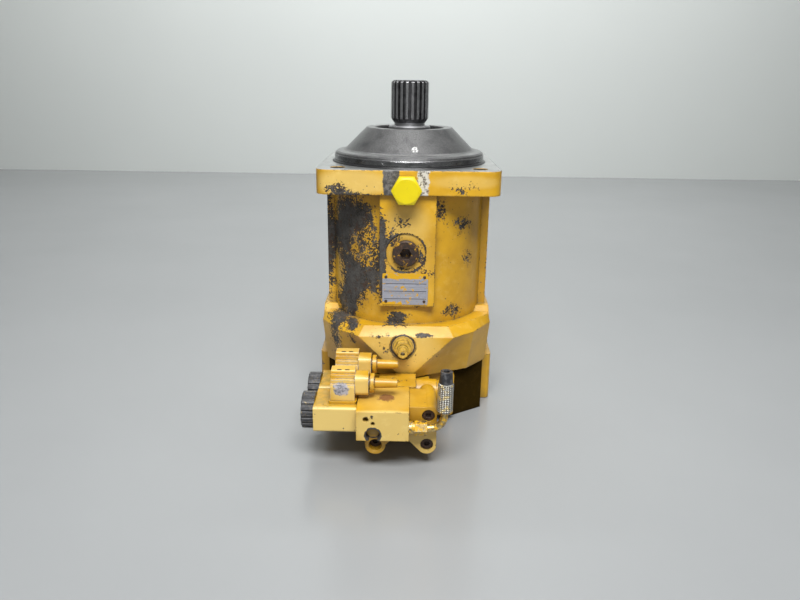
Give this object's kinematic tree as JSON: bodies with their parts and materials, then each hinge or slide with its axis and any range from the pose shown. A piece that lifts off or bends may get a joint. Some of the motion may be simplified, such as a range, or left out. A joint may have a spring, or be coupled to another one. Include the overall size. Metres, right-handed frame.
{
  "type": "axial piston pump",
  "caption": "Flange-mounted axial piston unit: conical nose with splined shaft, round barrel, flared swivel case, side ports and an electric control block in front.",
  "frame": {"origin": "centre of the pilot on the mounting flange's face", "axes": "+Z out along the shaft, -Y towards the control side, +X to the right seen from the control side"},
  "size_m": [0.2218, 0.347, 0.398],
  "materials": {
    "painted_casting": "chipped gloss paint on cast iron",
    "painted_coil": "painted coil case",
    "shaft_steel": "ground and oiled steel",
    "bearing_steel": "ground steel",
    "working_steel": "hardened and lapped steel",
    "carrier_iron": "machined iron",
    "black_rubber": "black rubber",
    "black_plastic": "moulded black plastic",
    "yellow_plastic": "moulded yellow plastic",
    "dark_screws": "rusty dark steel",
    "nameplate_metal": "printed aluminium",
    "brass_fittings": "yellow passivated fittings",
    "braid": "braided steel sleeve"
  },
  "bodies": {
    "housing": {"cable_plug_front": "painted_coil", "cable_plug_rear": "painted_coil", "cap_nut_front": "black_plastic", "cap_nut_rear": "black_plastic", "clamp_screws": "dark_screws", "coil_front": "painted_coil", "coil_rear": "painted_coil", "control_body": "painted_casting", "control_end_plug": "painted_casting", "control_lens": "working_steel", "control_spring": "bearing_steel", "core_front": "working_steel", "core_rear": "working_steel", "front_bearing_cup": "bearing_steel", "housing": "painted_casting", "nameplate": "nameplate_metal", "nameplate_rivets": "nameplate_metal", "pad_plug": "dark_screws", "pilot_block": "painted_casting", "pilot_block_screws": "dark_screws", "pilot_o_ring": "black_rubber", "pilot_pipe": "brass_fittings", "pipe_cap": "black_plastic", "pipe_sleeve": "braid", "pipe_union": "brass_fittings", "plug_boots": "painted_coil", "port_plate": "painted_casting", "port_plate_bolts": "dark_screws", "port_plate_seal": "black_rubber", "rear_bearing_cup": "bearing_steel", "retaining_ring": "bearing_steel", "seal_carrier": "carrier_iron", "shaft_seal": "black_rubber", "stroking_cover": "painted_casting", "stroking_pin": "working_steel", "stroking_piston": "working_steel", "test_nipple": "brass_fittings", "transport_cap": "yellow_plastic"},
    "shaft": {"drive_shaft": "shaft_steel", "front_bearing_cone": "bearing_steel", "rear_bearing_cone": "bearing_steel", "retaining_plate": "shaft_steel", "retaining_plate_screws": "dark_screws", "centre_pin": "working_steel", "piston_1": "working_steel", "piston_2": "working_steel", "piston_3": "working_steel", "piston_4": "working_steel", "piston_5": "working_steel", "piston_6": "working_steel", "piston_7": "working_steel"},
    "cylinder_block": {"cylinder_block": "working_steel", "centre_spring": "bearing_steel"},
    "front_rollers": {"front_bearing_rollers": "bearing_steel"},
    "rear_rollers": {"rear_bearing_rollers": "bearing_steel"},
    "front_armature": {"armature_front": "working_steel"},
    "pilot_spool": {"pilot_spool": "working_steel"},
    "rear_armature": {"armature_rear": "working_steel"},
    "control_spool": {"control_spool": "working_steel"},
    "test_poppet": {"test_poppet": "working_steel"}
  },
  "joints": [
    {"name": "shaft_spin", "type": "hinge", "parent": "housing", "child": "shaft", "pos_m": [0, 0, 0], "axis": [0, 0, 1], "continuous": true},
    {"name": "block_spin", "type": "hinge", "parent": "housing", "child": "cylinder_block", "pos_m": [0, 0, -0.19], "axis": [0, 0, 1], "continuous": true},
    {"name": "front_rollers_spin", "type": "hinge", "parent": "housing", "child": "front_rollers", "pos_m": [0, 0, -0.005], "axis": [0, 0, 1], "continuous": true},
    {"name": "rear_rollers_spin", "type": "hinge", "parent": "housing", "child": "rear_rollers", "pos_m": [0, 0, -0.056], "axis": [0, 0, 1], "continuous": true},
    {"name": "front_override_push", "type": "slide", "parent": "housing", "child": "front_armature", "axis": [1, 0, 0], "range_m": [0, 0.003], "stiffness_N_per_m": 900, "springref_m": -0.002},
    {"name": "pilot_spool_slide", "type": "slide", "parent": "housing", "child": "pilot_spool", "axis": [1, 0, 0], "range_m": [0, 0.003]},
    {"name": "rear_override_push", "type": "slide", "parent": "housing", "child": "rear_armature", "axis": [1, 0, 0], "range_m": [0, 0.003], "stiffness_N_per_m": 900, "springref_m": -0.002},
    {"name": "control_spool_slide", "type": "slide", "parent": "housing", "child": "control_spool", "axis": [1, 0, 0], "range_m": [0, 0.003], "deforming": ["control_spring"]},
    {"name": "test_poppet_push", "type": "slide", "parent": "housing", "child": "test_poppet", "axis": [0, 1, 0], "range_m": [0, 0.002], "stiffness_N_per_m": 300, "springref_m": -0.001}
  ],
  "couplings": [
    {"joint": "block_spin", "follows": "shaft_spin", "ratio": 1},
    {"joint": "front_rollers_spin", "follows": "shaft_spin", "ratio": 0.423},
    {"joint": "rear_rollers_spin", "follows": "shaft_spin", "ratio": 0.431},
    {"joint": "pilot_spool_slide", "follows": "front_override_push", "ratio": 1},
    {"joint": "control_spool_slide", "follows": "rear_override_push", "ratio": 1}
  ]
}
